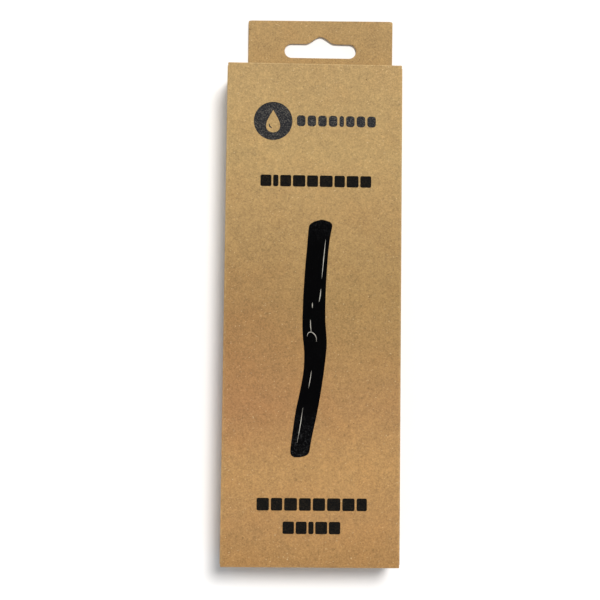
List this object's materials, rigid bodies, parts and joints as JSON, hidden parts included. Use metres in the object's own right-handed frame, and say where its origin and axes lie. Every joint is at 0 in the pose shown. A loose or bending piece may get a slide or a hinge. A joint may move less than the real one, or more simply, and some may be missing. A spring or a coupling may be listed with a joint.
{
  "type": "boxed charcoal stick",
  "caption": "Water-filter charcoal stick in a long kraft board hanging carton with tuck ends, dust flaps and a euro-slot header.",
  "frame": {"origin": "on the surface under the carton, below the middle of its whole length, header included", "axes": "+X across the carton to its right, +Y along it towards the hang tab, +Z out of the printed front"},
  "size_m": [0.076, 0.242, 0.025],
  "materials": {
    "kraft_board": "matte",
    "charcoal": "matte",
    "dried_glue": "satin"
  },
  "bodies": {
    "carton": {"front_panel": "kraft_board", "back_panel": "kraft_board", "left_side_panel": "kraft_board", "right_side_panel": "kraft_board", "glue_flap": "kraft_board", "glue_line": "dried_glue", "hang_header": "kraft_board"},
    "stick": {"charcoal_stick": "charcoal"},
    "top_lid": {"top_lid": "kraft_board"},
    "top_tongue": {"top_lid_tongue": "kraft_board"},
    "top_dust_left": {"top_dust_flap_left": "kraft_board"},
    "top_dust_right": {"top_dust_flap_right": "kraft_board"},
    "bottom_lid": {"bottom_lid": "kraft_board"},
    "bottom_tongue": {"bottom_lid_tongue": "kraft_board"},
    "bottom_dust_left": {"bottom_dust_flap_left": "kraft_board"},
    "bottom_dust_right": {"bottom_dust_flap_right": "kraft_board"}
  },
  "joints": [
    {"name": "stick_slide", "type": "slide", "parent": "carton", "child": "stick", "axis": [0, 1, 0], "range_m": [0, 0.215]},
    {"name": "top_lid_hinge", "type": "hinge", "parent": "carton", "child": "top_lid", "pos_m": [0, 0.09475, 0.02475], "axis": [1, 0, 0], "range_deg": [0, 176]},
    {"name": "top_tongue_hinge", "type": "hinge", "parent": "top_lid", "child": "top_tongue", "pos_m": [0, 0.09475, 0.00105], "axis": [1, 0, 0], "range_deg": [0, 38], "deforming": ["top_lid_tongue"]},
    {"name": "top_dust_left_hinge", "type": "hinge", "parent": "carton", "child": "top_dust_left", "pos_m": [-0.03775, 0.09395, 0.0125], "axis": [0, 0, 1], "range_deg": [0, 90]},
    {"name": "top_dust_right_hinge", "type": "hinge", "parent": "carton", "child": "top_dust_right", "pos_m": [0.03775, 0.09395, 0.0125], "axis": [0, 0, -1], "range_deg": [0, 90]},
    {"name": "bottom_lid_hinge", "type": "hinge", "parent": "carton", "child": "bottom_lid", "pos_m": [0, -0.12075, 0.02475], "axis": [-1, 0, 0], "range_deg": [0, 175]},
    {"name": "bottom_tongue_hinge", "type": "hinge", "parent": "bottom_lid", "child": "bottom_tongue", "pos_m": [0, -0.12075, 0.00105], "axis": [-1, 0, 0], "range_deg": [0, 38], "deforming": ["bottom_lid_tongue"]},
    {"name": "bottom_dust_left_hinge", "type": "hinge", "parent": "carton", "child": "bottom_dust_left", "pos_m": [-0.03775, -0.11995, 0.0125], "axis": [0, 0, -1], "range_deg": [0, 90]},
    {"name": "bottom_dust_right_hinge", "type": "hinge", "parent": "carton", "child": "bottom_dust_right", "pos_m": [0.03775, -0.11995, 0.0125], "axis": [0, 0, 1], "range_deg": [0, 90]}
  ],
  "couplings": [
    {"joint": "top_lid_hinge", "follows": "stick_slide", "rad_per_m": 14.287},
    {"joint": "top_tongue_hinge", "follows": "stick_slide", "rad_per_m": 3.084},
    {"joint": "top_dust_left_hinge", "follows": "stick_slide", "rad_per_m": 7.306},
    {"joint": "top_dust_right_hinge", "follows": "stick_slide", "rad_per_m": 7.306},
    {"joint": "bottom_tongue_hinge", "follows": "bottom_lid_hinge", "ratio": 0.217},
    {"joint": "bottom_dust_left_hinge", "follows": "bottom_lid_hinge", "ratio": 0.514},
    {"joint": "bottom_dust_right_hinge", "follows": "bottom_lid_hinge", "ratio": 0.514}
  ]
}
